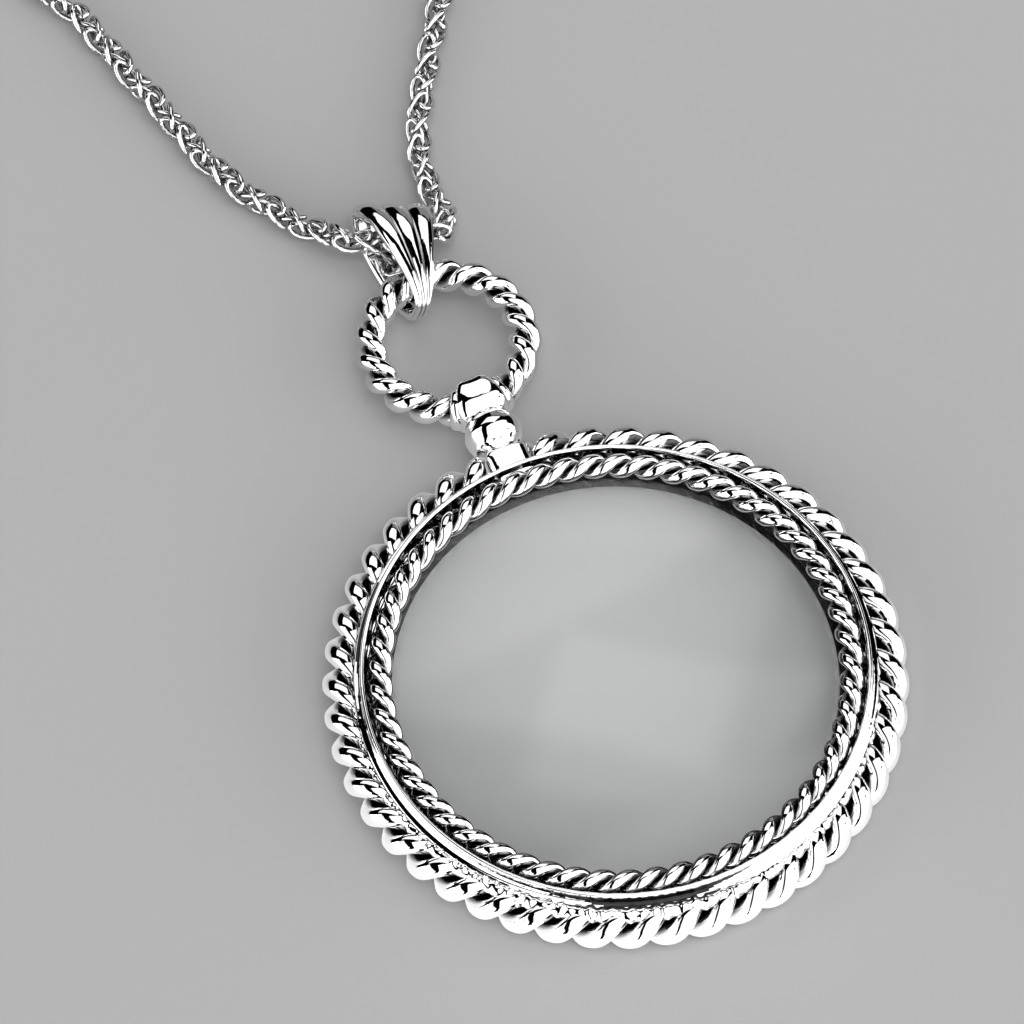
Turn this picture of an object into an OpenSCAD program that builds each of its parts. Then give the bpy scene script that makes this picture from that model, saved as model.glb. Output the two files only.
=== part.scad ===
// Magnifier pendant on a rope chain, lying on a flat surface.
// Origin: centre of the lens, on the plane that the bezel's flat back rests on.
// +Y runs from the lens through the stem to the bow ring, +Z is up, millimetres.

/* [Bezel] */
// Outer radius of the bezel's wall
bezel_r = 21.22; // [20.9:0.02:21.22]
// Height of the raised rim above the resting plane
rim_top = 5; // [4.8:0.05:5.4]
// Width of the raised rim
rim_w = 0.44; // [0.3:0.02:0.6]
// Radius of the see-through opening in the bezel's back
window_r = 18.9; // [17.5:0.1:19.2]

/* [Lens] */
// Radius of the lens
lens_r = 20; // [19.8:0.05:20]
// Thickness of the lens at its edge
lens_edge = 1; // [0.8:0.05:1.05]
// Radius of curvature of both faces of the lens
lens_curve = 104; // [100:1:400]

/* [Outer rope] */
// Radius of the ring that the outer rope runs round
outer_rope_ring_r = 23.2; // [23.2:0.05:24]
// Half the thickness of the outer rope
outer_rope_r = 1.9; // [1.4:0.05:1.9]
// Full turns of the outer rope's two strands round the pendant
outer_rope_turns = 23; // [16:1:30]

/* [Inner rope] */
// Radius of the ring that the inner rope runs round
inner_rope_ring_r = 20.2; // [20:0.05:20.2]
// Half the thickness of the inner rope
inner_rope_r = 1; // [0.8:0.05:1]
// Full turns of the inner rope's two strands round the lens
inner_rope_turns = 28; // [20:1:36]

/* [Stem] */
// Width of the collar between the bezel and the knob
collar_w = 3.7; // [3:0.1:3.8]
// Height of the collar's top above the resting plane
collar_top = 4.3; // [3.6:0.1:4.6]
// Radius of the round knob
knob_r = 2.5; // [2.2:0.05:2.5]
// Radius of the sleeve that holds the bow ring
sleeve_r = 2.4; // [2:0.05:2.45]

/* [Bow ring] */
// Distance from the lens centre to the centre of the bow ring
bow_y = 36.25; // [36:0.05:36.3]
// Radius of the circle that the bow ring's wire runs round
bow_ring_r = 6.7; // [6.6:0.05:6.9]
// Half the thickness of the bow ring's twisted wire
bow_rope_r = 1.45; // [1.2:0.05:1.45]
// Full turns of the two strands in a whole circle
bow_turns = 8.5; // [6:0.5:12]

/* [Bail] */
// Length of the bail from its tip to its fold
bail_l = 10.7; // [10.5:0.1:10.9]
// Width of the bail at its fold
bail_w = 6.2; // [5.4:0.1:6.2]
// Width of the bail at its tip
bail_tip_w = 0.95; // [0.7:0.05:1.4]
// Thickness of the bail's metal, without its flutes
bail_th = 0.6; // [0.5:0.05:0.65]
// Height of the three flutes
flute_h = 0.22; // [0:0.02:0.24]

/* [Chain] */
// Half the thickness of the chain
chain_r = 1.1; // [0.8:0.05:1.1]

/* [Clasp] */
// Length of the barrel clasp
clasp_l = 12; // [11:0.5:14]
// Radius of the barrel clasp
clasp_r = 2.3; // [2:0.1:2.4]

/* [Hidden] */
$fn = 64;
silver = [0.80, 0.80, 0.82];
glass = [0.85, 0.88, 0.90, 0.35];

// Gap between pieces that are set in one another
gap = 0.07;
// Height of the undersides of the outer rope and the knob above the resting plane
lift = 0.05;
// Height of the inner rope's underside above its seat
rope_rest = 0.06;

// Bezel
rim_r = 21.7;
window_edge = 0.5;
back_edge = 0.25;
seat_r = lens_r + gap;
lens_z = 2.1;
sag = lens_curve - sqrt(lens_curve * lens_curve - lens_r * lens_r);
// The shelf under the lens slopes down to the opening by this much
shelf_slope = 0.25;
window_seat_z = lens_z - gap - shelf_slope;
rope_seat_r = inner_rope_ring_r + inner_rope_r + gap;
rope_seat_z = lens_z + lens_edge + gap;
flare_z = [2.3, 3.3, 3.9];
flare_r = bezel_r + 0.43;
ledge_z = 4;
rim_foot_z = 4.3;

// Ropes: half the width of the waist between the two strands, as a share of the rope's half thickness
rope_waist = 0.5;
outer_rope_z = outer_rope_r + lift;
inner_rope_z = rope_seat_z + inner_rope_r + rope_rest;
outer_rope_points = 12;
outer_rope_rings = 10;
inner_rope_points = 10;
inner_rope_rings = 8;
bow_rope_points = 12;
bow_rope_rings = 12;
// Half the angle that the stem's collar takes out of the outer rope
rope_stop = asin((collar_w / 2 + gap) / (outer_rope_ring_r - outer_rope_r));

// Stem: everything on it is centred at this height, and the bow ring lies level
stem_z = knob_r + lift;
collar_y = [21.4, 24.2];
collar_root_y = 20.6;
collar_root_h = 2.4;
collar_foot = 0.35;
collar_corner = 0.6;
knob_y = 26.35;
sleeve_ring_r = bow_ring_r - 0.15;
sleeve_half_angle = 15.5;
cuff_half_angle = 20;
cuff_r = sleeve_r - 0.4;
// The sockets reach this many degrees into the cuff, and the wire ends this far short of their floor
socket_angle = 5;
socket_play = 0.7;
socket_half_angle = cuff_half_angle - socket_angle;
bow_stop = socket_half_angle + socket_play;

// Bail: its long axis leans from +Y towards +X, and its upper leg stands a little to that side
bail_tip = [-0.95, 39.75];
bail_lean = 7.7;
bail_z = 2.74;
bail_half_h = 2.68;
bail_skew = 0.38;
// The fold runs aslant: its right end stands this much nearer the lens for each millimetre of width
bail_slant = 0.27;
bail_power = 2.7;
bail_steps = 28;
// Height of the flutes at the bail's tip, as a share of their height at the fold
tip_flute = 0.35;
// Places of the points across the bail: the fluted face, then the plain inner face
flute_points = [for (i = [-6 : 6]) i / 6];
inner_points = [0.92, 0.45, -0.45, -0.92];

// Route of the chain's middle line from one end of the clasp, through the bail, to the other end
chain_route = [
    [-6, 352, 2.4], [-17, 351, 1.3], [-48, 338, 1.1], [-80, 300, 1.1], [-91.6, 248, 1.1],
    [-83, 195, 1.1], [-60, 148, 1.1], [-18, 83.5, 1.1], [-13.9, 70.5, 1.1], [-11, 60, 1.1],
    [-6.8, 52.8, 1.2], [-4.6, 50.1, 1.9], [-2.4, 48.1, 2.5], [0.2, 47, 2.7], [3, 46.4, 2.5],
    [5, 47.2, 2], [5.5, 49.3, 1.4], [5.3, 52.4, 1.1], [6.4, 57.5, 1.1], [12, 66.7, 1.1],
    [28, 91.5, 1.1], [56, 136, 1.1], [82, 184, 1.1], [91.6, 240, 1.1], [80, 298, 1.1],
    [45, 340, 1.1], [17, 351, 1.3], [6, 352, 2.4]
];
chain_steps = 3;
chain_sides = 8;
clasp_y = 352;
clasp_z = 2.4;
clasp_corner = 0.8;
socket_depth = 1.5;

// Joins a list of rings of points into one closed surface. Each ring runs anticlockwise as seen
// looking along the way that the rings advance, and an open row of rings gets a flat cap at each end.
module loft(rings, closed = false) {
    n = len(rings[0]);
    m = len(rings);
    last = closed ? m - 1 : m - 2;
    sides = [for (i = [0 : last], k = [0 : n - 1])
        let (j = (i + 1) % m, l = (k + 1) % n)
        each [[i * n + k, i * n + l, j * n + k], [i * n + l, j * n + l, j * n + k]]];
    caps = closed ? [] : [
        [for (k = [n - 1 : -1 : 0]) k],
        [for (k = [0 : n - 1]) (m - 1) * n + k]];
    polyhedron(points = [for (ring = rings) each ring], faces = concat(sides, caps), convexity = 10);
}

// Half thickness of a rope of two strands at an angle from the line through both strands
function rope_outline(r, a) = r * sqrt(pow(cos(a), 2) + pow(rope_waist * sin(a), 2));

// One cross-section of a rope at angle t round its ring: the strands have turned by turns * t
function rope_section(ring_r, r, z, turns, points, t) = [
    for (k = [0 : points - 1])
        let (a = 360 * k / points, q = rope_outline(r, a), b = a + turns * t)
        [(ring_r + q * cos(b)) * cos(t), (ring_r + q * cos(b)) * sin(t), z + q * sin(b)]];

// A rope of two strands laid round a ring from one angle to another, with so many rings of
// points for each full turn of the strands
module rope(ring_r, r, z, turns, points, per_turn, from = 0, to = 360) {
    closed = to - from == 360;
    steps = ceil(turns * per_turn * (to - from) / 360);
    loft([for (i = [0 : closed ? steps - 1 : steps])
        rope_section(ring_r, r, z, turns, points, from + (to - from) * i / steps)], closed);
}

// The bezel's wall, back flange, lens seat, rope seat and raised rim, turned about the lens axis
module bezel_wall() {
    rotate_extrude() {
        polygon([
            [window_r + window_edge, 0], [bezel_r - back_edge, 0], [bezel_r, back_edge],
            [bezel_r, flare_z[0]], [flare_r, flare_z[1]], [rim_r + rim_w / 2, flare_z[2]],
            [rim_r + rim_w / 2, rim_top - rim_w / 2], [rim_r - rim_w / 2, rim_top - rim_w / 2],
            [rim_r - rim_w / 2, rim_foot_z], [rope_seat_r, ledge_z],
            [rope_seat_r, rope_seat_z], [seat_r, rope_seat_z],
            [seat_r, lens_z - gap], [window_r, window_seat_z], [window_r, window_edge]]);
        translate([rim_r, rim_top - rim_w / 2])
            circle(r = rim_w / 2);
    }
}

// A flat outline of the collar with four round corners
module collar_outline() {
    w = collar_w - 2 * collar_corner;
    h = collar_top - collar_foot - 2 * collar_corner;
    translate([-w / 2, collar_foot])
        square([w, h + 2 * collar_corner]);
    translate([-collar_w / 2, collar_foot + collar_corner])
        square([collar_w, h]);
    for (x = [-w / 2, w / 2], z = [0, h])
        translate([x, collar_foot + collar_corner + z])
            circle(r = collar_corner);
}

// The collar and its lower root, which runs into the bezel's wall below the inner rope
module collar() {
    translate([0, collar_y[1], 0])
        rotate([90, 0, 0])
            linear_extrude(collar_y[1] - collar_y[0])
                collar_outline();
    translate([collar_corner - collar_w / 2, collar_root_y, collar_foot])
        cube([collar_w - 2 * collar_corner, collar_y[0] + gap - collar_root_y, collar_root_h]);
}

// A stretch of round bar bent with the bow ring, centred on the stem
module bent_bar(r, half_angle) {
    translate([0, bow_y, stem_z])
        rotate_extrude(angle = 2 * half_angle, start = 270 - half_angle)
            translate([sleeve_ring_r, 0])
                circle(r = r);
}

// Socket in each end of the sleeve for the bow ring's twisted wire
module bow_socket(side) {
    translate([0, bow_y, stem_z])
        rotate_extrude(angle = 2 * socket_angle,
            start = 270 + (side > 0 ? socket_half_angle : -socket_half_angle - 2 * socket_angle))
            translate([bow_ring_r, 0])
                circle(r = bow_rope_r + gap);
}

// The bezel with its collar, knob and sleeve: soldered metal, so one solid
module bezel() {
    color(silver)
        difference() {
            union() {
                bezel_wall();
                collar();
                translate([0, knob_y, stem_z])
                    sphere(r = knob_r);
                bent_bar(sleeve_r, sleeve_half_angle);
                bent_bar(cuff_r, cuff_half_angle);
            }
            bow_socket(1);
            bow_socket(-1);
        }
}

// Clear lens, rounded on both faces
module lens() {
    color(glass)
        rotate_extrude()
            intersection() {
                translate([0, lens_z + lens_edge + sag - lens_curve])
                    circle(r = lens_curve, $fn = 1440);
                translate([0, lens_z - sag + lens_curve])
                    circle(r = lens_curve, $fn = 1440);
                translate([0, lens_z - sag])
                    square([lens_r, lens_edge + 2 * sag]);
            }
}

module outer_rope() {
    color(silver)
        rope(outer_rope_ring_r, outer_rope_r, outer_rope_z, outer_rope_turns,
            outer_rope_points, outer_rope_rings, 90 + rope_stop, 450 - rope_stop);
}

module inner_rope() {
    color(silver)
        rope(inner_rope_ring_r, inner_rope_r, inner_rope_z, inner_rope_turns,
            inner_rope_points, inner_rope_rings);
}

module bow_ring() {
    color(silver)
        translate([0, bow_y, 0])
            rope(bow_ring_r, bow_rope_r, stem_z, bow_turns,
                bow_rope_points, bow_rope_rings, bow_stop - 90, 270 - bow_stop);
}

// Raises the size of a number to a power and keeps its sign
function signed_power(v, p) = sign(v) * pow(abs(v), p);

// Middle line of the bail's strip as [along, height], once round at angle t: a long loop with
// blunt ends, the fold at t = 0 and the tip at t = 180
function bail_line(t) =
    let (power = 2 / bail_power)
    [bail_l / 2 + (bail_l - bail_th) / 2 * signed_power(cos(t), power),
     (bail_half_h - bail_th / 2 - flute_h) * signed_power(sin(t), power)];

// Outward direction of the middle line, from two points close to each other
function bail_out(t) =
    let (d = bail_line(t + 1) - bail_line(t - 1))
    [d[1], -d[0]] / norm(d);

// Width of the strip at a place along the bail
function bail_width(along) = bail_tip_w + (bail_w - bail_tip_w) * along / bail_l;

// Height of the three flutes at a place across the strip, from -1 to 1
function flute(s, along) = flute_h * abs(cos(270 * s)) * min(1, tip_flute + along / bail_l);

// A point of the strip: c = [along, height], out = its outward direction, s = place across it,
// lift = distance outwards from its middle line
function bail_point(c, out, s, lift) =
    let (along = c[0] + out[0] * lift, height = c[1] + out[1] * lift)
    let (place = s * bail_width(c[0]) / 2)
    [place + bail_skew * height, along - bail_slant * place * along / bail_l, height];

function bail_ring(t) =
    let (c = bail_line(t), out = bail_out(t))
    concat(
        [for (s = flute_points) bail_point(c, out, s, bail_th / 2 + flute(s, c[0]))],
        [for (s = inner_points) bail_point(c, out, s, -bail_th / 2)]);

// Fluted strip folded over the chain and closed round the bow ring
module bail() {
    color(silver)
        translate([bail_tip[0], bail_tip[1], bail_z])
            rotate([0, 0, -bail_lean])
                loft([for (i = [0 : bail_steps - 1]) bail_ring(360 * i / bail_steps)], true);
}

// Direction of the route at a point, weighted by the lengths of the stretches beside it
function route_slope(p, i) =
    let (a = p[max(i - 1, 0)], b = p[i], c = p[min(i + 1, len(p) - 1)])
    (c - a) / (norm(b - a) + norm(c - b));

// Smooth curve through two neighbouring points of the route, at u from 0 to 1
function route_point(p, i, u) =
    let (a = p[i], b = p[i + 1], d = norm(b - a),
         ma = route_slope(p, i) * d, mb = route_slope(p, i + 1) * d)
    (2 * pow(u, 3) - 3 * u * u + 1) * a + (pow(u, 3) - 2 * u * u + u) * ma
        + (3 * u * u - 2 * pow(u, 3)) * b + (pow(u, 3) - u * u) * mb;

function smooth_route(p, steps) = [
    for (i = [0 : len(p) - 2], k = [0 : steps - 1]) route_point(p, i, k / steps),
    p[len(p) - 1]];

// A round section at point i of a line, square to the line there
function tube_ring(line, i, r, sides) =
    let (d = line[min(i + 1, len(line) - 1)] - line[max(i - 1, 0)],
         side = [d[1], -d[0], 0] / norm([d[0], d[1]]),
         up = cross(side, d) / norm(d))
    [for (k = [0 : sides - 1])
        line[i] + r * (cos(360 * (k + 0.5) / sides) * side + sin(360 * (k + 0.5) / sides) * up)];

module chain() {
    line = smooth_route(chain_route, chain_steps);
    color(silver)
        loft([for (i = [0 : len(line) - 1]) tube_ring(line, i, chain_r, chain_sides)]);
}

// Plain barrel with round shoulders and a socket at each end for the chain
module clasp() {
    color(silver)
        translate([0, clasp_y, clasp_z])
            rotate([0, 90, 0])
                rotate_extrude()
                    difference() {
                        union() {
                            translate([0, -clasp_l / 2])
                                square([clasp_r - clasp_corner, clasp_l]);
                            translate([0, clasp_corner - clasp_l / 2])
                                square([clasp_r, clasp_l - 2 * clasp_corner]);
                            for (end = [-1, 1])
                                translate([clasp_r - clasp_corner, end * (clasp_l / 2 - clasp_corner)])
                                    circle(r = clasp_corner);
                        }
                        for (end = [-1, 1])
                            translate([0, end > 0 ? clasp_l / 2 - socket_depth : -clasp_l / 2 - 1])
                                square([chain_r + gap, socket_depth + 1]);
                    }
}

bezel();
lens();
outer_rope();
inner_rope();
bow_ring();
bail();
chain();
clasp();
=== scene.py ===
import bmesh
import bpy
import numpy as np
from mathutils import Matrix


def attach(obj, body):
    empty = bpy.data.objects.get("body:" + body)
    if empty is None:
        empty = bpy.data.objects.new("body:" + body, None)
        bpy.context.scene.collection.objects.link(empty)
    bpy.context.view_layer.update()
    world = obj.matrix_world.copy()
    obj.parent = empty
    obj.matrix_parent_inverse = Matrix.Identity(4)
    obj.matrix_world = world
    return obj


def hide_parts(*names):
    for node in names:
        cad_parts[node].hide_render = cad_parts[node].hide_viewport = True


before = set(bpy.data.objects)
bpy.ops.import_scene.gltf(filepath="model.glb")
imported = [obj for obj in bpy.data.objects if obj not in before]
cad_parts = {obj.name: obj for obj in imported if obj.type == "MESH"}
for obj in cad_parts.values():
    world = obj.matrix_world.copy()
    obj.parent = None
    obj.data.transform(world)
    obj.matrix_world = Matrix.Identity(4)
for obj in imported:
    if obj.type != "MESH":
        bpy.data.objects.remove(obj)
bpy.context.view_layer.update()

METRE = 0.001
TAU = 2 * np.pi

# Camera: degrees and millimetres
CAMERA_AZIMUTH = -23.5
CAMERA_ELEVATION = 61.3
CAMERA_AIM = (-1.52, 18.75, 2.4)
CAMERA_DISTANCE = 1200
CAMERA_LENS = 490.5

# Sizes
# Bezel: radius of its wall, and the radius, width and top of the rim, and the window in its back
BEZEL_R = 21.22
RIM_R, RIM_W, RIM_TOP = 21.7, 0.4, 5.0
WINDOW_R = 18.9
# Solder bead: the side where it is fullest, and its radius on the far side and what it gains on the near one
SOLDER_SIDE, SOLDER_LEAST, SOLDER_GAIN = -113, 0.12, 0.66
# Painted shade in the groove under the rim: the middles of its two stretches and how far each reaches either
# way
GROOVE_LEFT, GROOVE_NEAR, GROOVE_REACH = 143, -106, 24
# Lens: radius, thickness of its edge, height of its lower edge, radius of its faces
LENS_R, LENS_EDGE, LENS_Z, LENS_CURVE = 20.0, 1.0, 2.1, 104.0
# Twisted wires: radius of the ring, half thickness, height of the middle line, turns in a circle
OUTER_RING_R, OUTER_R, OUTER_Z, OUTER_TURNS = 23.2, 1.9, 1.95, 23
INNER_RING_R, INNER_R, INNER_Z, INNER_TURNS = 20.15, 1.1, 4.2, 28
BOW_Y, BOW_RING_R, BOW_R, BOW_Z, BOW_TURNS = 36.25, 6.7, 1.45, 2.55, 8.5
# Half angles of the gaps that the stem leaves in them
OUTER_STOP = 5.17
BOW_STOP = 15.7
# Strands of all the twisted wires: how far each stands off, and how much wider than thick it is
STRAND_SHARE, STRAND_STRETCH = 0.5, 1.28
# Stem: height of its middle line, and the bend, radius and half angle of the sleeve
STEM_Z = 2.55
SLEEVE_RING_R, SLEEVE_R, SLEEVE_ANGLE = 6.55, 2.4, 15.5
# Bail: place of its tip, lean and height of its middle; length, widths, thickness and height of the flutes
BAIL_TIP, BAIL_LEAN, BAIL_Z = (-0.95, 39.75), 7.7, 2.74
BAIL_L, BAIL_W, BAIL_TIP_W, BAIL_TH, FLUTE_H = 10.7, 6.2, 0.95, 0.6, 0.22
# Half its height, its sideways lean per millimetre of height, its slant, and the powers of its two ends
BAIL_HALF_H, BAIL_SKEW, BAIL_SLANT, BAIL_FOLD_POWER, BAIL_TIP_POWER = 2.68, 0.3, 0.27, 2.0, 2.7
BAIL_LIP = 0.12
# Chain: half length, half width and wire radius of a link, and its pitch, offset and lean
LINK_LONG, LINK_SHORT, LINK_WIRE = 1.35, 0.66, 0.235
LINK_PITCH, LINK_OFFSET, LINK_TILT = 0.86, 0.34, 31
# Length of one lobe of the rope, which is half a turn, on the left and the right strand
LEFT_LOBE, RIGHT_LOBE = 3.9, 4.8
CHAIN_LIFT = 0.17
CHAIN_ROUTE = np.array([
    [-6, 352, 2.4], [-17, 351, 1.3], [-48, 338, 1.1], [-80, 300, 1.1], [-91.6, 248, 1.1],
    [-83, 195, 1.1], [-60, 148, 1.1], [-18, 83.5, 1.1], [-13.9, 70.5, 1.1], [-11, 60, 1.1],
    [-6.8, 52.8, 1.2], [-4.6, 50.1, 1.9], [-2.4, 48.1, 2.5], [0.2, 47, 2.7], [3, 46.4, 2.5],
    [4.7, 47.2, 2], [5, 49.3, 1.4], [5, 52.4, 1.1], [6.4, 57.5, 1.1], [12, 66.7, 1.1],
    [28, 91.5, 1.1], [56, 136, 1.1], [82, 184, 1.1], [91.6, 240, 1.1], [80, 298, 1.1],
    [45, 340, 1.1], [17, 351, 1.3], [6, 352, 2.4]])
# Clasp: its place, length and radius
CLASP_Y, CLASP_Z, CLASP_L, CLASP_R = 352, 2.4, 12, 2.3


# Surfaces
def grid_faces(rows, columns, wrap_rows=False):
    """Quads of a grid of points numbered row by row: each joins a point to its right and lower neighbours.
    The last column always joins the first, and with wrap_rows so does the last row."""
    number = np.arange(rows * columns).reshape(rows, columns)
    if wrap_rows:
        number = np.vstack([number, number[:1]])
    number = np.hstack([number, number[:, :1]])
    corners = [number[:-1, :-1], number[:-1, 1:], number[1:, 1:], number[1:, :-1]]
    return np.stack(corners, axis=-1).reshape(-1, 4)


def surface(points, wrap_rows=False, caps=False):
    """Points of a grid and its faces. With caps, the first and the last row are closed by one face each."""
    rows, columns = points.shape[:2]
    faces = grid_faces(rows, columns, wrap_rows).tolist()
    if caps:
        faces.append(list(range(columns)))
        faces.append(list(range((rows - 1) * columns, rows * columns)))
    return points.reshape(-1, 3), faces


def new_piece(name, surfaces, material, replaces, second=None, second_faces=None):
    """One mesh object of several closed surfaces, with smooth shading and its faces turned outwards. A
    second material goes on the faces whose middles, in millimetres, second_faces picks."""
    vertices, faces, count = [], [], 0
    for points, polygons in surfaces:
        vertices.append(points)
        faces.extend([[i + count for i in polygon] for polygon in polygons])
        count += len(points)
    mesh = bpy.data.meshes.new(name)
    mesh.from_pydata((np.concatenate(vertices) * METRE).tolist(), [], faces)
    shell = bmesh.new()
    shell.from_mesh(mesh)
    bmesh.ops.recalc_face_normals(shell, faces=shell.faces)
    shell.to_mesh(mesh)
    shell.free()
    mesh.polygons.foreach_set("use_smooth", np.ones(len(mesh.polygons), bool))
    mesh.materials.append(material)
    if second:
        mesh.materials.append(second)
        middles = np.empty(3 * len(mesh.polygons))
        mesh.polygons.foreach_get("center", middles)
        picked = second_faces(middles.reshape(-1, 3) / METRE)
        mesh.polygons.foreach_set("material_index", picked.astype(np.int32))
    piece = bpy.data.objects.new(name, mesh)
    bpy.context.scene.collection.objects.link(piece)
    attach(piece, "root")
    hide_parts(*replaces)


# Twisted wires
def strand(ring_r, r, z, turns, start, end, phase, centre=(0, 0), per_turn=44, sides=22):
    """One of two strands twisted together round a ring.
    At angle t of the ring the strand's middle stands off the ring's line by the share of r, at the angle
    psi = turns * t + phase from the outward direction, and its section is an ellipse: the rest of r
    along that direction and the stretch times as much across it."""
    steps = int(np.ceil(turns * per_turn * (end - start) / 360))
    closed = end - start == 360
    t = np.radians(start) + np.radians(end - start) * np.arange(steps + (not closed)) / steps
    u = np.arange(sides) / sides * TAU
    t, u = t[:, None], u[None, :]
    along = STRAND_SHARE * r + (1 - STRAND_SHARE) * r * np.cos(u)
    across = (1 - STRAND_SHARE) * r * STRAND_STRETCH * np.sin(u)
    psi = turns * t + np.radians(phase)
    out = along * np.cos(psi) - across * np.sin(psi)
    up = along * np.sin(psi) + across * np.cos(psi)
    x = centre[0] + (ring_r + out) * np.cos(t)
    y = centre[1] + (ring_r + out) * np.sin(t)
    return surface(np.stack([x, y, z + up], axis=-1), wrap_rows=closed, caps=not closed)


# Shapes of the frame
def waves(angle, along, seed, count=14, lowest=9, highest=60):
    """Smooth uneven height, mostly between -1 and 1: the sum of several sine waves round the ring over
    the square root of their number, each with a phase that also turns along the profile."""
    rng = np.random.default_rng(seed)
    rate = rng.integers(lowest, highest, count)
    drift = rng.uniform(-3, 3, count)
    phase = rng.uniform(0, TAU, count)
    total = np.sin(angle[..., None] * rate + along[..., None] * drift + phase)
    return total.sum(axis=-1) / np.sqrt(count)


def turned(profile, bumps, columns, seed):
    """Profile turned about the Z axis: each of its points has a radius, a height and the height of the
    uneven waves there, which push it up, and 0.6 as far outwards."""
    r, z, bump = np.array(profile, float).T[:, :, None]
    angle = (np.arange(columns) / columns * TAU)[None, :] + 0 * r
    place = np.arange(len(profile))[:, None] + 0 * angle
    push = bumps * bump * waves(angle, place, seed)
    r = r + push * 0.6
    z = z + push
    return np.stack([r * np.cos(angle), r * np.sin(angle), z], axis=-1)


def dense(corners, per_mm):
    """Points along a chain of straight lines through the corners, evenly spaced on each line."""
    rows = []
    for a, b in zip(corners[:-1], corners[1:]):
        a, b = np.array(a, float), np.array(b, float)
        n = max(1, int(np.ceil(np.linalg.norm((b - a)[:2]) * per_mm)))
        rows.append(a + (b - a) * (np.arange(n) / n)[:, None])
    return np.concatenate(rows)


def round_arc(r, z, radius, start, end, steps):
    """Corner points of an arc of a circle in the profile plane, with no unevenness."""
    a = np.radians(np.linspace(start, end, steps))
    return [[r + radius * np.cos(v), z + radius * np.sin(v), 0] for v in a]


def frame_wall():
    """The bezel's wall with its back, lens seat, ledge and raised round rim, turned about the lens axis."""
    half = RIM_W / 2
    corners = [
        [WINDOW_R + 1.1, 0.0, 0], [BEZEL_R - 0.25, 0.0, 0], [BEZEL_R, 0.25, 0], [BEZEL_R, 2.3, 0.1],
        [BEZEL_R + 0.2, 3.2, 0.1], [RIM_R + half + 0.5, 3.65, 0.0], [RIM_R + half + 0.55, 3.75, 0.0],
        [RIM_R + half + 0.1, 3.85, 0.0], [RIM_R + half, 3.95, 0.0]]
    corners += round_arc(RIM_R, RIM_TOP - half, half, 0, 180, 11)
    corners += [
        [RIM_R - half, 4.45, 0.1], [RIM_R - 0.3, 4.2, 0.7], [21.33, 4.0, 0.9], [21.29, 3.8, 0.3],
        [21.29, 3.17, 0], [20.07, 3.17, 0], [20.07, 2.03, 0], [WINDOW_R + 0.1, 1.78, 0],
        [WINDOW_R + 0.12, 1.6, 0], [WINDOW_R + 1.1, 0, 0]]
    profile = dense(corners, per_mm=5)
    return surface(turned(profile, bumps=0.09, columns=1200, seed=5), wrap_rows=True)


def painted_shade_faces(p):
    """Picks the faces that get painted shade: the lens seat, and two stretches of the groove under the rim
    that narrow towards their ends."""
    r = np.hypot(p[:, 0], p[:, 1])
    seat = (r < 20.3) & (p[:, 2] < 3.3) & (p[:, 2] > 0.05)
    angle = np.degrees(np.arctan2(p[:, 1], p[:, 0]))
    from_middle = np.minimum(np.abs(angle - GROOVE_LEFT), np.abs(angle - GROOVE_NEAR))
    share = np.clip(1 - (from_middle / GROOVE_REACH) ** 2, 0, 1)
    groove = (r > RIM_R + RIM_W / 2 - 0.03) & (r < RIM_R + 0.2 + 0.4 * share)
    groove &= (p[:, 2] > 4.6 - 1.1 * share) & (p[:, 2] < RIM_TOP - 0.35) & (share > 0)
    return seat | groove


def solder_bead(columns=1600, sides=20):
    """Uneven bead of solder between the rim and the outer rope: a ring of round section that is fullest
    on the near side, its surface pushed in and out by the waves."""
    angle = (np.arange(columns) / columns * TAU)[None, :]
    u = (np.arange(sides) / sides * TAU)[:, None]
    near = 0.5 + 0.5 * np.cos(angle - np.radians(SOLDER_SIDE))
    full = SOLDER_LEAST + SOLDER_GAIN * near ** 2
    lump = waves(angle + 0 * u, 1.2 * np.cos(u) + 0 * angle, seed=11, count=18, lowest=60, highest=190)
    fine = waves(angle + 0 * u, 2.0 * np.cos(u) + 0 * angle, seed=12, count=12, lowest=200, highest=330)
    r = full + 0.07 * lump + 0.008 * fine
    out = 22.2 + 0.55 * near ** 2 + r * np.cos(u)
    up = 3.0 + 0.2 * near + r * np.sin(u)
    return surface(np.stack([out * np.cos(angle), out * np.sin(angle), up], axis=-1), wrap_rows=True)


def lens_shape(rings=48, columns=180):
    """Clear lens: both faces are parts of spheres of one radius, joined by a short straight edge."""
    sag = LENS_CURVE - np.sqrt(LENS_CURVE ** 2 - LENS_R ** 2)
    s = np.linspace(0.002, 1, rings) * LENS_R
    rise = np.sqrt(LENS_CURVE ** 2 - s ** 2) - (LENS_CURVE - sag)
    r = np.concatenate([s, s[::-1]])
    z = np.concatenate([LENS_Z + LENS_EDGE + rise, (LENS_Z - rise)[::-1]])
    angle = np.arange(columns) / columns * TAU
    x, y = r[:, None] * np.cos(angle), r[:, None] * np.sin(angle)
    return surface(np.stack([x, y, z[:, None] + 0 * angle], axis=-1), caps=True)


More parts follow.
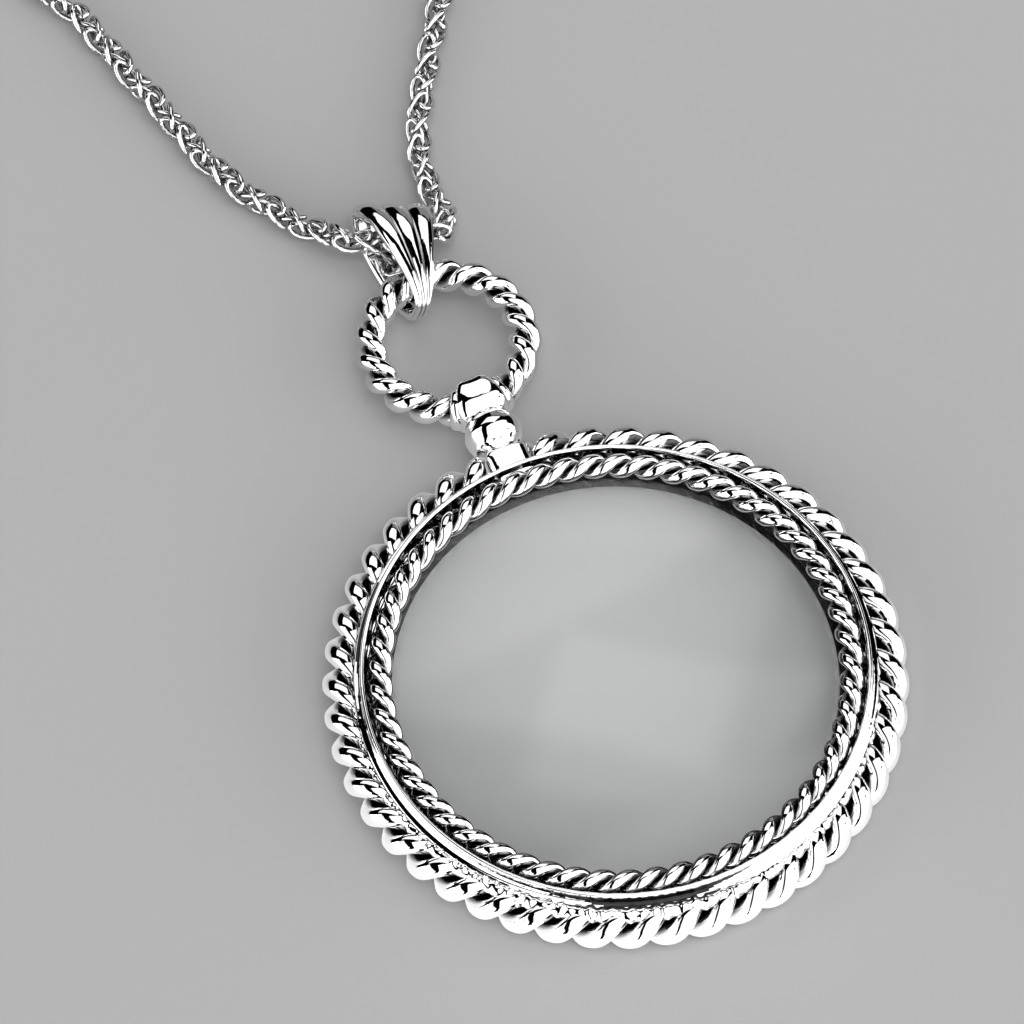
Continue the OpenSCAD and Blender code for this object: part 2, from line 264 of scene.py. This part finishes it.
# Shapes of the stem
def stem_loft(rows, columns=64):
    """Sections square to the stem, each with a half width, a height of its middle, a half height and a
    power: 2 gives an ellipse and a higher power a rounder box. Rows are joined by smooth curves."""
    rows = np.array(rows, float)
    u = np.linspace(0, 1, 120)
    knots = np.concatenate([[0], np.cumsum(np.linalg.norm(np.diff(rows[:, :2], axis=0), axis=1))])
    knots /= knots[-1]
    y, w, middle, h, power = [monotone(knots, rows[:, i], u) for i in range(5)]
    a = np.arange(columns) / columns * TAU
    c, s = np.cos(a)[None, :], np.sin(a)[None, :]
    scale = (np.abs(c) ** power[:, None] + np.abs(s) ** power[:, None]) ** (-1 / power[:, None])
    x = w[:, None] * scale * c
    z = middle[:, None] + h[:, None] * scale * s
    return surface(np.stack([x, y[:, None] + 0 * x, z], axis=-1), caps=True)


def monotone(knots, values, u):
    """Smooth curve through values at the knots that never overshoots them: cubic pieces whose slopes are
    the harmonic mean of the slopes on both sides, or zero at a peak."""
    step = np.diff(knots)
    slope = np.diff(values) / step
    product = slope[:-1] * slope[1:]
    total = slope[:-1] + slope[1:]
    inner = np.where(product > 0, 2 * product / np.where(total == 0, 1, total), 0)
    m = np.concatenate([[slope[0]], inner, [slope[-1]]])
    i = np.clip(np.searchsorted(knots, u) - 1, 0, len(step) - 1)
    v = (u - knots[i]) / step[i]
    return (values[i] * (1 + 2 * v) * (1 - v) ** 2 + m[i] * step[i] * v * (1 - v) ** 2
            + values[i + 1] * v ** 2 * (3 - 2 * v) + m[i + 1] * step[i] * v ** 2 * (v - 1))


def bent_bar(radius_at, half_angle, ring_r, power=2.0, columns=72, steps=96):
    """Bar bent with the bow ring and centred on the stem. Its radius follows radius_at(s), where s runs
    from -1 to 1 along it, and its section is round at power 2 and squarer at a higher power."""
    s = np.linspace(-1, 1, steps)
    t = np.radians(270 + half_angle * s)[:, None]
    u = (np.arange(columns) / columns * TAU)[None, :]
    section = (np.abs(np.cos(u)) ** power + np.abs(np.sin(u)) ** power) ** (-1 / power)
    r = radius_at(s)[:, None] * section
    out = ring_r + r * np.cos(u)
    points = np.stack([out * np.cos(t), BOW_Y + out * np.sin(t), STEM_Z + r * np.sin(u)], axis=-1)
    return surface(points, caps=True)


def stem_shapes():
    """Collar, groove, knob and neck as one loft, with the domed saddle and its two cuffs on the bow ring."""
    rows = [
        [20.7, 1.75, 2.35, 1.5, 6], [21.5, 1.85, 2.33, 1.9, 7], [23.6, 1.85, 2.33, 1.95, 7],
        [24.05, 1.75, 2.33, 1.85, 6], [24.15, 1.5, 2.4, 1.6, 4], [24.4, 1.42, 2.45, 1.5, 3],
        [24.7, 1.7, 2.5, 1.7, 2.3], [25.3, 2.3, 2.55, 2.2, 2.1], [26.35, 2.55, 2.55, 2.5, 2],
        [27.3, 2.2, 2.55, 2.2, 2], [27.9, 1.75, 2.55, 1.8, 2], [28.4, 1.6, 2.55, 1.7, 2],
        [29.2, 1.8, 2.55, 1.9, 2], [29.6, 1.9, 2.55, 2.0, 2]]

    def saddle(s):
        return (SLEEVE_R - 0.15) * np.clip(1 - np.abs(s) ** 5, 0.0, 1) ** 0.4 + 0.02

    def cuff(s):
        return (SLEEVE_R - 0.55) * np.clip(1 - np.abs(s) ** 14, 0.0, 1) ** 0.4 + 0.02

    return [stem_loft(rows),
            bent_bar(saddle, SLEEVE_ANGLE + 4, SLEEVE_RING_R, power=2.4),
            bent_bar(cuff, 22.5, BOW_RING_R)]


# Shape of the bail
def bail_shape(around=200, across=61):
    """Strip closed in a long loop: its middle line is half an ellipse at the fold and half a squarer oval
    at the tip. Its outer face carries three round flutes, its width shrinks towards the tip, its upper
    leg leans to one side, and its cross lines slant."""
    t = (np.arange(around) / around * TAU)[:, None]

    def line(angle):
        power = 2 / np.where(np.cos(angle) > 0, BAIL_FOLD_POWER, BAIL_TIP_POWER)
        c = np.sign(np.cos(angle)) * np.abs(np.cos(angle)) ** power
        s = np.sign(np.sin(angle)) * np.abs(np.sin(angle)) ** power
        return BAIL_L / 2 + (BAIL_L - BAIL_TH) / 2 * c, (BAIL_HALF_H - BAIL_TH / 2 - FLUTE_H) * s

    along, height = line(t)
    ahead, behind = line(t + 0.02), line(t - 0.02)
    d = np.stack([ahead[0] - behind[0], ahead[1] - behind[1]])
    d = d / np.linalg.norm(d, axis=0)
    out_along, out_height = d[1], -d[0]

    # outer face from one edge to the other, round edge, inner face back, round edge
    outer = np.linspace(-1, 1, across)
    edge = np.radians(np.linspace(90, -90, 9))[1:-1]
    inner = np.linspace(0.96, -0.96, 15)
    flute = 1.5 * FLUTE_H * np.abs(np.cos(1.5 * np.pi * outer)) ** 0.6
    strength = np.minimum(1, 0.45 + along / BAIL_L)
    half = BAIL_TH / 2
    width = (BAIL_TIP_W + (BAIL_W - BAIL_TIP_W) * along / BAIL_L) / 2
    s_outer = width * outer
    lift_outer = half + flute * strength - BAIL_LIP * (np.abs(outer) > 0.999)
    s_right = width + BAIL_LIP * np.cos(edge)
    lift_right = (half - 0.1) * np.sin(edge) + 0 * along
    s_inner = width * inner
    lift_inner = -half + 0 * along * inner
    s_left, lift_left = -s_right[:, ::-1], lift_right[:, ::-1]
    s = np.concatenate([s_outer, s_right, s_inner, s_left], axis=1)
    lift = np.concatenate([lift_outer, lift_right, lift_inner, lift_left], axis=1)
    a = along + out_along * lift
    h = height + out_height * lift
    x = s + BAIL_SKEW * h
    a = a - BAIL_SLANT * s * a / BAIL_L
    lean = np.radians(-BAIL_LEAN)
    px = BAIL_TIP[0] + x * np.cos(lean) - a * np.sin(lean)
    py = BAIL_TIP[1] + x * np.sin(lean) + a * np.cos(lean)
    return surface(np.stack([px, py, BAIL_Z + h], axis=-1), wrap_rows=True)


# Shapes of the chain
def smooth_route(points, steps=40):
    """Cubic curve through the points, whose slope at each point is that of its two neighbours, weighted
    by the lengths of the stretches beside it."""
    before = np.vstack([points[:1], points[:-1]])
    after = np.vstack([points[1:], points[-1:]])
    reach = np.linalg.norm(points - before, axis=1) + np.linalg.norm(after - points, axis=1)
    slope = (after - before) / reach[:, None]
    span = np.linalg.norm(np.diff(points, axis=0), axis=1)[:, None, None]
    u = (np.arange(steps) / steps)[None, :, None]
    a, b = points[:-1, None], points[1:, None]
    ma, mb = slope[:-1, None] * span, slope[1:, None] * span
    curve = ((2 * u ** 3 - 3 * u ** 2 + 1) * a + (u ** 3 - 2 * u ** 2 + u) * ma
             + (3 * u ** 2 - 2 * u ** 3) * b + (u ** 3 - u ** 2) * mb)
    return np.vstack([curve.reshape(-1, 3), points[-1:]])


def chain_links(sides=14, wire_sides=6):
    """Oval links along the chain's route, one every LINK_PITCH. Link k stands off the route by
    LINK_OFFSET, on the opposite side from the last and a little further round, and its plane leans
    LINK_TILT out of the route's direction, so each link passes through its neighbours."""
    route = smooth_route(CHAIN_ROUTE + [0, 0, CHAIN_LIFT])
    length = np.concatenate([[0], np.cumsum(np.linalg.norm(np.diff(route, axis=0), axis=1))])
    s = np.arange(0.9, length[-1] - 0.9, LINK_PITCH)
    centre = np.stack([np.interp(s, length, route[:, i]) for i in range(3)], axis=-1)
    ahead = np.stack([np.interp(s + 0.5, length, route[:, i]) for i in range(3)], axis=-1)
    behind = np.stack([np.interp(s - 0.5, length, route[:, i]) for i in range(3)], axis=-1)
    along = ahead - behind
    along /= np.linalg.norm(along, axis=1)[:, None]
    side = np.stack([along[:, 1], -along[:, 0], 0 * s], axis=-1)
    side /= np.linalg.norm(side, axis=1)[:, None]
    up = np.cross(side, along)

    lobe = np.where(s < length[-1] * 0.5, LEFT_LOBE, RIGHT_LOBE)
    phi = np.pi * np.arange(len(s)) + np.cumsum(np.pi / lobe) * LINK_PITCH
    cos, sin = np.cos(phi)[:, None], np.sin(phi)[:, None]
    out = cos * side + sin * up
    across = -sin * side + cos * up
    tilt = np.radians(LINK_TILT)
    lengthwise = np.cos(tilt) * along - np.sin(tilt) * across
    normal = np.cos(tilt) * across + np.sin(tilt) * along
    a = (np.arange(sides) / sides * TAU)[None, :, None, None]
    b = (np.arange(wire_sides) / wire_sides * TAU)[None, None, :, None]
    lengthwise, outwards, normal = [v[:, None, None] for v in (lengthwise, out, normal)]
    oval = LINK_LONG * np.cos(a) * lengthwise + LINK_SHORT * np.sin(a) * outwards
    square = LINK_SHORT * np.cos(a) * lengthwise + LINK_LONG * np.sin(a) * outwards
    square = square / np.linalg.norm(square, axis=-1, keepdims=True)
    middle = (centre + LINK_OFFSET * out)[:, None, None] + oval
    points = middle + LINK_WIRE * (np.cos(b) * square + np.sin(b) * normal)
    one = grid_faces(sides, wire_sides, wrap_rows=True)
    faces = (one[None] + (np.arange(len(s)) * sides * wire_sides)[:, None, None]).reshape(-1, 4)
    return points.reshape(-1, 3), faces.tolist()


def clasp_shape(columns=48):
    """Barrel turned about the X axis: two beaded ends, a waist at each, and a plain middle."""
    half = CLASP_L / 2
    x = np.array([-1, -1, -0.94, -0.86, -0.78, -0.74, -0.68, -0.5, 0])
    r = np.array([0.55, 0.8, 0.95, 1, 0.95, 0.86, 0.97, 1, 1])
    x = np.concatenate([x, -x[-2::-1]])[:, None] * half
    r = np.concatenate([r, r[-2::-1]])[:, None] * CLASP_R
    a = np.arange(columns) / columns * TAU
    points = np.stack([x + 0 * a, CLASP_Y + r * np.cos(a), CLASP_Z + r * np.sin(a)], axis=-1)
    return surface(points, caps=True)


# Materials
def new_material(name):
    """Empty material with one Principled shader, and its node tree."""
    material = bpy.data.materials.new(name)
    material.use_nodes = True
    tree = material.node_tree
    return material, tree, tree.nodes["Principled BSDF"]


RIPPLE_DEPTH = 0.05


def polished_metal(name, tone, roughness, ripple, scale, reach=0.2):
    """Bright plated metal: a mirror finish whose roughness varies a little in soft patches, over a faint
    cast ripple. Its colour is darker on metal nearer than the reach to another surface: painted shade,
    from an ambient occlusion node."""
    material, tree, shader = new_material(name)
    place = tree.nodes.new("ShaderNodeTexCoord")
    patches = tree.nodes.new("ShaderNodeTexNoise")
    patches.inputs["Scale"].default_value = scale
    patches.inputs["Detail"].default_value = 3
    tree.links.new(place.outputs["Object"], patches.inputs["Vector"])
    spread = tree.nodes.new("ShaderNodeMapRange")
    spread.inputs["From Min"].default_value = 0.35
    spread.inputs["From Max"].default_value = 0.7
    spread.inputs["To Min"].default_value = roughness * 0.6
    spread.inputs["To Max"].default_value = roughness * 1.5
    tree.links.new(patches.outputs["Fac"], spread.inputs["Value"])
    tree.links.new(spread.outputs["Result"], shader.inputs["Roughness"])
    cast_waves = tree.nodes.new("ShaderNodeTexNoise")
    cast_waves.inputs["Scale"].default_value = scale * 3
    cast_waves.inputs["Detail"].default_value = 1
    tree.links.new(place.outputs["Object"], cast_waves.inputs["Vector"])
    bump = tree.nodes.new("ShaderNodeBump")
    bump.inputs["Strength"].default_value = ripple
    bump.inputs["Distance"].default_value = RIPPLE_DEPTH * METRE
    tree.links.new(cast_waves.outputs["Fac"], bump.inputs["Height"])
    tree.links.new(bump.outputs["Normal"], shader.inputs["Normal"])
    # Painted shade: ambient occlusion darkens the metal's colour in corners, creases and gaps between parts
    corners = tree.nodes.new("ShaderNodeAmbientOcclusion")
    corners.samples = 8
    corners.inputs["Distance"].default_value = reach * METRE
    corners.inputs["Color"].default_value = (*tone, 1)
    tree.links.new(corners.outputs["Color"], shader.inputs["Base Color"])
    shader.inputs["Metallic"].default_value = 1
    return material


def clear_glass(name):
    """Clear glass that bends what is behind it and lets the lamps light the floor under it."""
    material, tree, shader = new_material(name)
    shader.inputs["Base Color"].default_value = (0.985, 0.99, 0.99, 1)
    shader.inputs["Transmission Weight"].default_value = 1
    shader.inputs["Roughness"].default_value = 0.1
    shader.inputs["IOR"].default_value = 1.5
    shader.inputs["Specular IOR Level"].default_value = 0.05
    ray = tree.nodes.new("ShaderNodeLightPath")
    clear = tree.nodes.new("ShaderNodeBsdfTransparent")
    clear.inputs["Color"].default_value = (0.96, 0.965, 0.965, 1)
    mix = tree.nodes.new("ShaderNodeMixShader")
    tree.links.new(ray.outputs["Is Shadow Ray"], mix.inputs["Fac"])
    tree.links.new(shader.outputs["BSDF"], mix.inputs[1])
    tree.links.new(clear.outputs["BSDF"], mix.inputs[2])
    tree.links.new(mix.outputs["Shader"], tree.nodes["Material Output"].inputs["Surface"])
    return material


def floor_paint():
    """Pale matt paper with a very soft mottle."""
    material, tree, shader = new_material("pale_paper")
    place = tree.nodes.new("ShaderNodeTexCoord")
    mottle = tree.nodes.new("ShaderNodeTexNoise")
    mottle.inputs["Scale"].default_value = 14
    mottle.inputs["Detail"].default_value = 4
    tree.links.new(place.outputs["Object"], mottle.inputs["Vector"])
    ramp = tree.nodes.new("ShaderNodeMapRange")
    ramp.inputs["To Min"].default_value = FLOOR_TONE * (1 - FLOOR_MOTTLE)
    ramp.inputs["To Max"].default_value = FLOOR_TONE * (1 + FLOOR_MOTTLE)
    tree.links.new(mottle.outputs["Fac"], ramp.inputs["Value"])
    tree.links.new(ramp.outputs["Result"], shader.inputs["Base Color"])
    shader.inputs["Roughness"].default_value = 0.9
    shader.inputs["Specular IOR Level"].default_value = 0.1
    return material


# Stage
FLOOR_TONE = 0.42
FLOOR_SIZE = 2500
FLOOR_MOTTLE = 0.03
# Where the reflected floor is at its brightest and its dimmest, in metres away from the camera, and how
# bright it is at each
GLOW_FADE = (-0.03, 0.032, 1.05, 0.3)
# The softboxes stand in a room of this many millimetres to one unit, round this point. Each has a name, a
# corner, its two edges and a brightness.
ROOM = 1400
ROOM_MIDDLE = (0, 10, 0)
SOFTBOXES = [
    ("back_card", (0.164, 0.285, 1), (-1.41, 0.435, 0), (0.448, 1.406, 0), 1.1),
    ("overhead", (-0.35, -0.03, 1.01), (1.87, 0, 0), (0, -2.27, 0), 1.1),
    ("overhead_far", (-0.32, -0.03, 1.03), (1.8, 1.08, 0), (0.36, -0.6, 0), 1.1),
    ("far_wall", (-0.25, 1.5, 0.02), (1.1, 0, 0), (0, 0, 0.6), 0.22),
    ("right_wall", (1.52, -2.3, 0.02), (0, 3.0, 0), (0, 0, 0.9), 2.6),
    ("near_wall", (-0.2, -2.3, 0.02), (1.7, 0, 0), (0, 0, 0.9), 3.0),
    ("left_top", (-0.9, 0.25, 1), (-0.62, 0, 0), (0, -2.55, 0), 1.1),
    ("left_wall", (-1.52, -2.3, 0.02), (0, 2.5, 0), (0, 0, 0.9), 2.6),
    ("near_left_wall", (-0.95, -2.3, 0.02), (-0.55, 0, 0), (0, 0, 0.9), 3.0)]


def look_axes(azimuth, elevation):
    """Directions for an eye that looks down at an elevation: the way that it looks, its right and its up."""
    a, e = np.radians([azimuth, elevation])
    look = np.array([-np.sin(a) * np.cos(e), np.cos(a) * np.cos(e), -np.sin(e)])
    right = np.array([np.cos(a), np.sin(a), 0])
    return look, right, np.cross(right, look)


def place_looking(thing, look, right, up, at):
    """Puts a camera or a lamp at a place in millimetres, so that its -Z axis looks along a direction."""
    turn = np.eye(4)
    turn[:3, 0], turn[:3, 1], turn[:3, 2], turn[:3, 3] = right, up, -look, np.array(at) * METRE
    thing.matrix_world = Matrix(turn.tolist())


def add_camera():
    """Telephoto camera at the photograph's viewing angle."""
    lens = bpy.data.cameras.new("camera")
    lens.lens, lens.sensor_width = CAMERA_LENS, 36
    lens.clip_start, lens.clip_end = 0.05, 20
    camera = bpy.data.objects.new("camera", lens)
    bpy.context.scene.collection.objects.link(camera)
    look, right, up = look_axes(CAMERA_AZIMUTH, CAMERA_ELEVATION)
    place_looking(camera, look, right, up, np.array(CAMERA_AIM) - CAMERA_DISTANCE * look)
    bpy.context.scene.camera = camera


def add_softbox(name, corner, first, second, glow):
    """Rectangular softbox from one corner and its two edges, in the camera's room: to the right, away
    from the camera, and up. Its face is turned towards the pendant, and glow is its brightness."""
    corner, first, second = [np.array(v, float) * ROOM for v in (corner, first, second)]
    middle = corner + (first + second) / 2
    width, height = np.linalg.norm(first), np.linalg.norm(second)
    look = np.cross(first, second) / (width * height)
    if look @ middle > 0:
        look = -look
    lamp = bpy.data.lights.new(name, "AREA")
    lamp.shape, lamp.size, lamp.size_y = "RECTANGLE", width * METRE, height * METRE
    lamp.energy = glow * np.pi * width * height * METRE ** 2
    box = bpy.data.objects.new(name, lamp)
    bpy.context.scene.collection.objects.link(box)
    a = np.radians(CAMERA_AZIMUTH)
    room = np.array([[np.cos(a), np.sin(a), 0], [-np.sin(a), np.cos(a), 0], [0, 0, 1]])
    look, right = look @ room, (first / width) @ room
    place_looking(box, look, right, np.cross(right, look), middle @ room + np.array(ROOM_MIDDLE))


def add_floor_glow(mesh):
    """The floor as the metal reflects it: a sheet that only reflections see, bright on the near side and
    dimmer on the far side."""
    material = bpy.data.materials.new("floor_glow")
    material.use_nodes = True
    tree = material.node_tree
    tree.nodes.remove(tree.nodes["Principled BSDF"])
    place = tree.nodes.new("ShaderNodeTexCoord")
    far = tree.nodes.new("ShaderNodeVectorMath")
    far.operation = "DOT_PRODUCT"
    a = np.radians(CAMERA_AZIMUTH)
    far.inputs[1].default_value = (-np.sin(a), np.cos(a), 0)
    tree.links.new(place.outputs["Object"], far.inputs[0])
    fade = tree.nodes.new("ShaderNodeMapRange")
    for name, value in zip(("From Min", "From Max", "To Min", "To Max"), GLOW_FADE):
        fade.inputs[name].default_value = value
    tree.links.new(far.outputs["Value"], fade.inputs["Value"])
    glow = tree.nodes.new("ShaderNodeEmission")
    tree.links.new(fade.outputs["Result"], glow.inputs["Strength"])
    tree.links.new(glow.outputs["Emission"], tree.nodes["Material Output"].inputs["Surface"])
    mesh = mesh.copy()
    mesh.materials.clear()
    mesh.materials.append(material)
    sheet = bpy.data.objects.new("floor_glow", mesh)
    bpy.context.scene.collection.objects.link(sheet)
    sheet.visible_camera = sheet.visible_diffuse = False
    sheet.visible_shadow = sheet.visible_transmission = False


def add_stage():
    """Pale floor, a tent of softboxes with a dark gap between its parts, and a dark room."""
    half = FLOOR_SIZE / 2
    mesh = bpy.data.meshes.new("floor")
    corners = half * METRE * np.array([[-1, -1, 0], [1, -1, 0], [1, 1, 0], [-1, 1, 0]])
    mesh.from_pydata(corners.tolist(), [], [[0, 1, 2, 3]])
    mesh.materials.append(floor_paint())
    floor = bpy.data.objects.new("floor", mesh)
    bpy.context.scene.collection.objects.link(floor)
    floor.visible_glossy = False
    add_floor_glow(mesh)
    for box in SOFTBOXES:
        add_softbox(*box)
    world = bpy.data.worlds.new("room")
    world.use_nodes = True
    world.node_tree.nodes["Background"].inputs["Color"].default_value = (0.002, 0.002, 0.002, 1)
    bpy.context.scene.world = world
    bpy.context.scene.view_settings.view_transform = "Standard"
    bpy.context.scene.view_settings.look = "Medium High Contrast"


# The pendant
add_camera()
add_stage()

silver = polished_metal("polished_silver_tone", (0.90, 0.90, 0.905), 0.05, 0.25, 500)
# The last number on the rope and chain metals is how far the painted shade in their colour reaches
rope_silver = polished_metal("rope_silver_tone", (0.90, 0.90, 0.905), 0.05, 0.25, 500, 0.6)
chain_silver = polished_metal("chain_silver_tone", (0.82, 0.82, 0.825), 0.07, 0.1, 900, 0.8)
# Near-black, rougher metal as painted shade on the lens seat and in two stretches of the groove under the
# rim
painted_shade_metal = polished_metal("painted_shade_recess", (0.05, 0.05, 0.05), 0.35, 0.5, 300)
glass = clear_glass("lens_glass")

new_piece("frame_and_stem", [frame_wall(), solder_bead()] + stem_shapes(), silver,
          ["bezel"], painted_shade_metal, painted_shade_faces)
new_piece("magnifying_lens", [lens_shape()], glass, ["lens"])
new_piece("outer_rope_wire", [
    strand(OUTER_RING_R, OUTER_R, OUTER_Z, OUTER_TURNS, 90 + OUTER_STOP, 450 - OUTER_STOP, phase)
    for phase in (0, 180)], rope_silver, ["outer_rope"])
new_piece("inner_rope_wire", [
    strand(INNER_RING_R, INNER_R, INNER_Z, INNER_TURNS, 0, 360, phase, per_turn=32, sides=16)
    for phase in (0, 180)], rope_silver, ["inner_rope"])
new_piece("bow_wire", [
    strand(BOW_RING_R, BOW_R, BOW_Z, BOW_TURNS, BOW_STOP - 90, 270 - BOW_STOP, phase, centre=(0, BOW_Y),
           per_turn=64, sides=24) for phase in (0, 180)], rope_silver, ["bow_ring"])
new_piece("fluted_bail", [bail_shape()], silver, ["bail"])
new_piece("rope_chain", [chain_links()], chain_silver, ["chain"])
new_piece("barrel_clasp", [clasp_shape()], chain_silver, ["clasp"])
